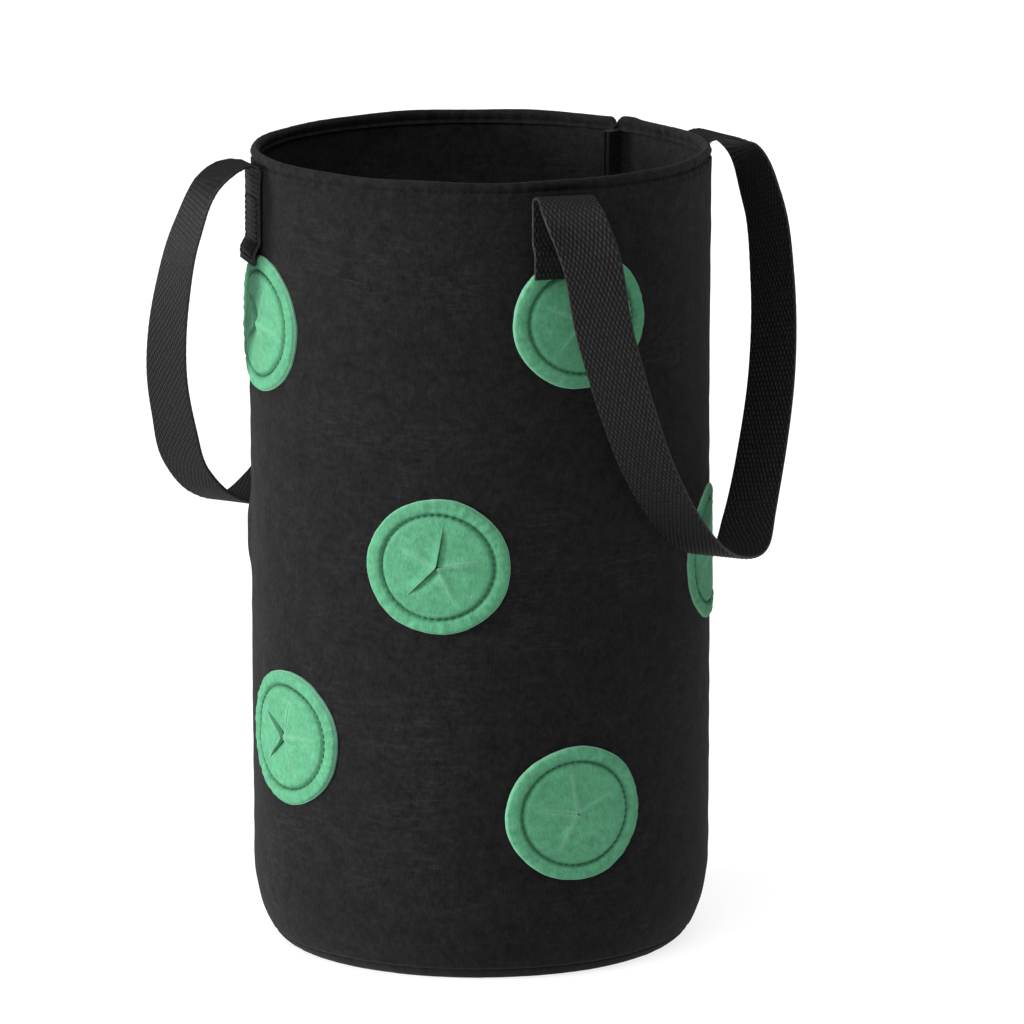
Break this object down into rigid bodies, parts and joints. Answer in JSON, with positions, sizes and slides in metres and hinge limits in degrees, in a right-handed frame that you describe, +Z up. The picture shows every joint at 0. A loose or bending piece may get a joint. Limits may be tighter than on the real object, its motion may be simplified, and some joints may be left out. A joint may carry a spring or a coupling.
{
  "type": "fabric grow bag",
  "caption": "Round felt planter bag with an open top, slit planting ports around its side and two webbing carrying handles.",
  "frame": {"origin": "centre of the base's flat underside", "axes": "+Z up along the bag's axis, -Y towards the front, +X to the right seen from the front"},
  "size_m": [0.284, 0.2576, 0.35],
  "materials": {
    "black_felt": "matt non-woven felt, charcoal black",
    "green_felt": "matt felt, mint green",
    "black_webbing": "plain-weave polypropylene webbing, black"
  },
  "bodies": {
    "bag": {"base_panel": "black_felt", "base_seam": "black_felt", "left_handle_tab_front": "black_webbing", "left_handle_tab_rear": "black_webbing", "port_10_disc": "green_felt", "port_11_disc": "green_felt", "port_12_disc": "green_felt", "port_1_disc": "green_felt", "port_2_disc": "green_felt", "port_3_disc": "green_felt", "port_4_disc": "green_felt", "port_5_disc": "green_felt", "port_6_disc": "green_felt", "port_7_disc": "green_felt", "port_8_disc": "green_felt", "port_9_disc": "green_felt", "right_handle_tab_front": "black_webbing", "right_handle_tab_rear": "black_webbing", "rim_hem": "black_felt", "wall_panel": "black_felt", "wall_seam": "black_felt"},
    "port_1_flap_1": {"port_1_flap_1": "green_felt"},
    "port_1_flap_2": {"port_1_flap_2": "green_felt"},
    "port_1_flap_3": {"port_1_flap_3": "green_felt"},
    "port_1_flap_4": {"port_1_flap_4": "green_felt"},
    "port_1_flap_5": {"port_1_flap_5": "green_felt"},
    "port_2_flap_1": {"port_2_flap_1": "green_felt"},
    "port_2_flap_2": {"port_2_flap_2": "green_felt"},
    "port_2_flap_3": {"port_2_flap_3": "green_felt"},
    "port_2_flap_4": {"port_2_flap_4": "green_felt"},
    "port_2_flap_5": {"port_2_flap_5": "green_felt"},
    "port_3_flap_1": {"port_3_flap_1": "green_felt"},
    "port_3_flap_2": {"port_3_flap_2": "green_felt"},
    "port_3_flap_3": {"port_3_flap_3": "green_felt"},
    "port_3_flap_4": {"port_3_flap_4": "green_felt"},
    "port_3_flap_5": {"port_3_flap_5": "green_felt"},
    "port_4_flap_1": {"port_4_flap_1": "green_felt"},
    "port_4_flap_2": {"port_4_flap_2": "green_felt"},
    "port_4_flap_3": {"port_4_flap_3": "green_felt"},
    "port_4_flap_4": {"port_4_flap_4": "green_felt"},
    "port_4_flap_5": {"port_4_flap_5": "green_felt"},
    "port_5_flap_1": {"port_5_flap_1": "green_felt"},
    "port_5_flap_2": {"port_5_flap_2": "green_felt"},
    "port_5_flap_3": {"port_5_flap_3": "green_felt"},
    "port_5_flap_4": {"port_5_flap_4": "green_felt"},
    "port_5_flap_5": {"port_5_flap_5": "green_felt"},
    "port_6_flap_1": {"port_6_flap_1": "green_felt"},
    "port_6_flap_2": {"port_6_flap_2": "green_felt"},
    "port_6_flap_3": {"port_6_flap_3": "green_felt"},
    "port_6_flap_4": {"port_6_flap_4": "green_felt"},
    "port_6_flap_5": {"port_6_flap_5": "green_felt"},
    "port_7_flap_1": {"port_7_flap_1": "green_felt"},
    "port_7_flap_2": {"port_7_flap_2": "green_felt"},
    "port_7_flap_3": {"port_7_flap_3": "green_felt"},
    "port_7_flap_4": {"port_7_flap_4": "green_felt"},
    "port_7_flap_5": {"port_7_flap_5": "green_felt"},
    "right_handle": {"right_handle_loop": "black_webbing"},
    "left_handle": {"left_handle_loop": "black_webbing"}
  },
  "joints": [
    {"name": "port_1_flap_1_fold", "type": "hinge", "parent": "bag", "child": "port_1_flap_1", "pos_m": [-0.08852, -0.04713, 0.28538], "axis": [0.2285, -0.4291, -0.8739], "range_deg": [0, 75], "stiffness_Nm_per_rad": 0.001},
    {"name": "port_1_flap_2_fold", "type": "hinge", "parent": "bag", "child": "port_1_flap_2", "pos_m": [-0.09462, -0.03209, 0.29295], "axis": [0.3153, -0.9297, 0.1904], "range_deg": [0, 75], "stiffness_Nm_per_rad": 0.001},
    {"name": "port_1_flap_3_fold", "type": "hinge", "parent": "bag", "child": "port_1_flap_3", "pos_m": [-0.09829, -0.02042, 0.27986], "axis": [0.0249, -0.1198, 0.9925], "range_deg": [0, 75], "stiffness_Nm_per_rad": 0.001},
    {"name": "port_1_flap_4_fold", "type": "hinge", "parent": "bag", "child": "port_1_flap_4", "pos_m": [-0.09577, -0.02875, 0.26419], "axis": [-0.2607, 0.8684, 0.4217], "range_deg": [0, 75], "stiffness_Nm_per_rad": 0.001},
    {"name": "port_1_flap_5_fold", "type": "hinge", "parent": "bag", "child": "port_1_flap_5", "pos_m": [-0.08942, -0.04514, 0.26761], "axis": [-0.3078, 0.6099, -0.7303], "range_deg": [0, 75], "stiffness_Nm_per_rad": 0.001},
    {"name": "port_2_flap_1_fold", "type": "hinge", "parent": "bag", "child": "port_2_flap_1", "pos_m": [0.05235, -0.08534, 0.3006], "axis": [0.6442, 0.3951, -0.6549], "range_deg": [0, 75], "stiffness_Nm_per_rad": 0.001},
    {"name": "port_2_flap_2_fold", "type": "hinge", "parent": "bag", "child": "port_2_flap_2", "pos_m": [0.03634, -0.0932, 0.30216], "axis": [0.7992, 0.3117, 0.514], "range_deg": [0, 75], "stiffness_Nm_per_rad": 0.001},
    {"name": "port_2_flap_3_fold", "type": "hinge", "parent": "bag", "child": "port_2_flap_3", "pos_m": [0.02984, -0.09584, 0.28567], "axis": [-0.2156, -0.0671, 0.9742], "range_deg": [0, 75], "stiffness_Nm_per_rad": 0.001},
    {"name": "port_2_flap_4_fold", "type": "hinge", "parent": "bag", "child": "port_2_flap_4", "pos_m": [0.04228, -0.09051, 0.27392], "axis": [-0.9026, -0.4216, 0.087], "range_deg": [0, 75], "stiffness_Nm_per_rad": 0.001},
    {"name": "port_2_flap_5_fold", "type": "hinge", "parent": "bag", "child": "port_2_flap_5", "pos_m": [0.05586, -0.08333, 0.28315], "axis": [-0.3256, -0.2182, -0.92], "range_deg": [0, 75], "stiffness_Nm_per_rad": 0.001},
    {"name": "port_3_flap_1_fold", "type": "hinge", "parent": "bag", "child": "port_3_flap_1", "pos_m": [-0.00756, -0.09986, 0.19467], "axis": [0.7062, -0.0535, -0.706], "range_deg": [0, 75], "stiffness_Nm_per_rad": 0.001},
    {"name": "port_3_flap_2_fold", "type": "hinge", "parent": "bag", "child": "port_3_flap_2", "pos_m": [-0.02498, -0.09683, 0.19747], "axis": [0.8632, -0.2226, 0.453], "range_deg": [0, 75], "stiffness_Nm_per_rad": 0.001},
    {"name": "port_3_flap_3_fold", "type": "hinge", "parent": "bag", "child": "port_3_flap_3", "pos_m": [-0.03288, -0.09485, 0.18152], "axis": [-0.1484, 0.0514, 0.9876], "range_deg": [0, 75], "stiffness_Nm_per_rad": 0.001},
    {"name": "port_3_flap_4_fold", "type": "hinge", "parent": "bag", "child": "port_3_flap_4", "pos_m": [-0.02054, -0.09778, 0.16885], "axis": [-0.9666, 0.2031, 0.1561], "range_deg": [0, 75], "stiffness_Nm_per_rad": 0.001},
    {"name": "port_3_flap_5_fold", "type": "hinge", "parent": "bag", "child": "port_3_flap_5", "pos_m": [-0.00477, -0.10018, 0.17698], "axis": [-0.4548, 0.0216, -0.8903], "range_deg": [0, 75], "stiffness_Nm_per_rad": 0.001},
    {"name": "port_4_flap_1_fold", "type": "hinge", "parent": "bag", "child": "port_4_flap_1", "pos_m": [0.09878, -0.01492, 0.1897], "axis": [0.149, 0.9864, -0.0696], "range_deg": [0, 75], "stiffness_Nm_per_rad": 0.001},
    {"name": "port_4_flap_2_fold", "type": "hinge", "parent": "bag", "child": "port_4_flap_2", "pos_m": [0.0958, -0.02982, 0.18021], "axis": [0.1117, 0.3588, 0.9267], "range_deg": [0, 75], "stiffness_Nm_per_rad": 0.001},
    {"name": "port_4_flap_3_fold", "type": "hinge", "parent": "bag", "child": "port_4_flap_3", "pos_m": [0.09678, -0.02559, 0.16283], "axis": [-0.1961, -0.7415, 0.6417], "range_deg": [0, 75], "stiffness_Nm_per_rad": 0.001},
    {"name": "port_4_flap_4_fold", "type": "hinge", "parent": "bag", "child": "port_4_flap_4", "pos_m": [0.09972, -0.00798, 0.16158], "axis": [-0.0677, -0.846, -0.5289], "range_deg": [0, 75], "stiffness_Nm_per_rad": 0.001},
    {"name": "port_4_flap_5_fold", "type": "hinge", "parent": "bag", "child": "port_4_flap_5", "pos_m": [0.10036, -0.00128, 0.17819], "axis": [0.0031, 0.2428, -0.9701], "range_deg": [0, 75], "stiffness_Nm_per_rad": 0.001},
    {"name": "port_5_flap_1_fold", "type": "hinge", "parent": "bag", "child": "port_5_flap_1", "pos_m": [-0.07585, -0.06545, 0.11009], "axis": [0.4294, -0.4977, -0.7536], "range_deg": [0, 75], "stiffness_Nm_per_rad": 0.001},
    {"name": "port_5_flap_2_fold", "type": "hinge", "parent": "bag", "child": "port_5_flap_2", "pos_m": [-0.08588, -0.05118, 0.11412], "axis": [0.4714, -0.7911, 0.3899], "range_deg": [0, 75], "stiffness_Nm_per_rad": 0.001},
    {"name": "port_5_flap_3_fold", "type": "hinge", "parent": "bag", "child": "port_5_flap_3", "pos_m": [-0.09061, -0.04323, 0.09877], "axis": [-0.0377, 0.079, 0.9962], "range_deg": [0, 75], "stiffness_Nm_per_rad": 0.001},
    {"name": "port_5_flap_4_fold", "type": "hinge", "parent": "bag", "child": "port_5_flap_4", "pos_m": [-0.08452, -0.0533, 0.08526], "axis": [-0.5198, 0.8243, 0.2244], "range_deg": [0, 75], "stiffness_Nm_per_rad": 0.001},
    {"name": "port_5_flap_5_fold", "type": "hinge", "parent": "bag", "child": "port_5_flap_5", "pos_m": [-0.07488, -0.06668, 0.09225], "axis": [-0.3434, 0.3857, -0.8564], "range_deg": [0, 75], "stiffness_Nm_per_rad": 0.001},
    {"name": "port_6_flap_1_fold", "type": "hinge", "parent": "bag", "child": "port_6_flap_1", "pos_m": [0.0472, -0.08816, 0.08807], "axis": [0.786, 0.4208, -0.453], "range_deg": [0, 75], "stiffness_Nm_per_rad": 0.001},
    {"name": "port_6_flap_2_fold", "type": "hinge", "parent": "bag", "child": "port_6_flap_2", "pos_m": [0.031, -0.09523, 0.08527], "axis": [0.6735, 0.2192, 0.706], "range_deg": [0, 75], "stiffness_Nm_per_rad": 0.001},
    {"name": "port_6_flap_3_fold", "type": "hinge", "parent": "bag", "child": "port_6_flap_3", "pos_m": [0.02836, -0.0962, 0.06758], "axis": [-0.4367, -0.1287, 0.8903], "range_deg": [0, 75], "stiffness_Nm_per_rad": 0.001},
    {"name": "port_6_flap_4_fold", "type": "hinge", "parent": "bag", "child": "port_6_flap_4", "pos_m": [0.04312, -0.09013, 0.05945], "axis": [-0.891, -0.4263, -0.1561], "range_deg": [0, 75], "stiffness_Nm_per_rad": 0.001},
    {"name": "port_6_flap_5_fold", "type": "hinge", "parent": "bag", "child": "port_6_flap_5", "pos_m": [0.05441, -0.08436, 0.07212], "axis": [-0.132, -0.0851, -0.9876], "range_deg": [0, 75], "stiffness_Nm_per_rad": 0.001},
    {"name": "port_7_flap_1_fold", "type": "hinge", "parent": "bag", "child": "port_7_flap_1", "pos_m": [-0.08945, 0.04483, 0.19063], "axis": [-0.3718, -0.7418, -0.5581], "range_deg": [0, 75], "stiffness_Nm_per_rad": 0.001},
    {"name": "port_7_flap_2_fold", "type": "hinge", "parent": "bag", "child": "port_7_flap_2", "pos_m": [-0.08007, 0.06006, 0.19], "axis": [-0.4734, -0.6311, 0.6145], "range_deg": [0, 75], "stiffness_Nm_per_rad": 0.001},
    {"name": "port_7_flap_3_fold", "type": "hinge", "parent": "bag", "child": "port_7_flap_3", "pos_m": [-0.0772, 0.0641, 0.17279], "axis": [0.2192, 0.264, 0.9393], "range_deg": [0, 75], "stiffness_Nm_per_rad": 0.001},
    {"name": "port_7_flap_4_fold", "type": "hinge", "parent": "bag", "child": "port_7_flap_4", "pos_m": [-0.08545, 0.05174, 0.16278], "axis": [0.5176, 0.8549, -0.0348], "range_deg": [0, 75], "stiffness_Nm_per_rad": 0.001},
    {"name": "port_7_flap_5_fold", "type": "hinge", "parent": "bag", "child": "port_7_flap_5", "pos_m": [-0.09231, 0.03939, 0.1738], "axis": [0.1086, 0.2544, -0.961], "range_deg": [0, 75], "stiffness_Nm_per_rad": 0.001},
    {"name": "right_handle_swing", "type": "hinge", "parent": "bag", "child": "right_handle", "pos_m": [0.07152, -0.03803, 0.347], "axis": [-0.4695, -0.8829, 0], "range_deg": [0, 165]},
    {"name": "left_handle_swing", "type": "hinge", "parent": "bag", "child": "left_handle", "pos_m": [-0.07152, 0.03803, 0.347], "axis": [0.4695, 0.8829, 0], "range_deg": [0, 165]}
  ],
  "couplings": [
    {"joint": "port_1_flap_2_fold", "follows": "port_1_flap_1_fold", "ratio": 1},
    {"joint": "port_1_flap_3_fold", "follows": "port_1_flap_1_fold", "ratio": 1},
    {"joint": "port_1_flap_4_fold", "follows": "port_1_flap_1_fold", "ratio": 1},
    {"joint": "port_1_flap_5_fold", "follows": "port_1_flap_1_fold", "ratio": 1},
    {"joint": "port_2_flap_2_fold", "follows": "port_2_flap_1_fold", "ratio": 1},
    {"joint": "port_2_flap_3_fold", "follows": "port_2_flap_1_fold", "ratio": 1},
    {"joint": "port_2_flap_4_fold", "follows": "port_2_flap_1_fold", "ratio": 1},
    {"joint": "port_2_flap_5_fold", "follows": "port_2_flap_1_fold", "ratio": 1},
    {"joint": "port_3_flap_2_fold", "follows": "port_3_flap_1_fold", "ratio": 1},
    {"joint": "port_3_flap_3_fold", "follows": "port_3_flap_1_fold", "ratio": 1},
    {"joint": "port_3_flap_4_fold", "follows": "port_3_flap_1_fold", "ratio": 1},
    {"joint": "port_3_flap_5_fold", "follows": "port_3_flap_1_fold", "ratio": 1},
    {"joint": "port_4_flap_2_fold", "follows": "port_4_flap_1_fold", "ratio": 1},
    {"joint": "port_4_flap_3_fold", "follows": "port_4_flap_1_fold", "ratio": 1},
    {"joint": "port_4_flap_4_fold", "follows": "port_4_flap_1_fold", "ratio": 1},
    {"joint": "port_4_flap_5_fold", "follows": "port_4_flap_1_fold", "ratio": 1},
    {"joint": "port_5_flap_2_fold", "follows": "port_5_flap_1_fold", "ratio": 1},
    {"joint": "port_5_flap_3_fold", "follows": "port_5_flap_1_fold", "ratio": 1},
    {"joint": "port_5_flap_4_fold", "follows": "port_5_flap_1_fold", "ratio": 1},
    {"joint": "port_5_flap_5_fold", "follows": "port_5_flap_1_fold", "ratio": 1},
    {"joint": "port_6_flap_2_fold", "follows": "port_6_flap_1_fold", "ratio": 1},
    {"joint": "port_6_flap_3_fold", "follows": "port_6_flap_1_fold", "ratio": 1},
    {"joint": "port_6_flap_4_fold", "follows": "port_6_flap_1_fold", "ratio": 1},
    {"joint": "port_6_flap_5_fold", "follows": "port_6_flap_1_fold", "ratio": 1},
    {"joint": "port_7_flap_2_fold", "follows": "port_7_flap_1_fold", "ratio": 1},
    {"joint": "port_7_flap_3_fold", "follows": "port_7_flap_1_fold", "ratio": 1},
    {"joint": "port_7_flap_4_fold", "follows": "port_7_flap_1_fold", "ratio": 1},
    {"joint": "port_7_flap_5_fold", "follows": "port_7_flap_1_fold", "ratio": 1}
  ]
}
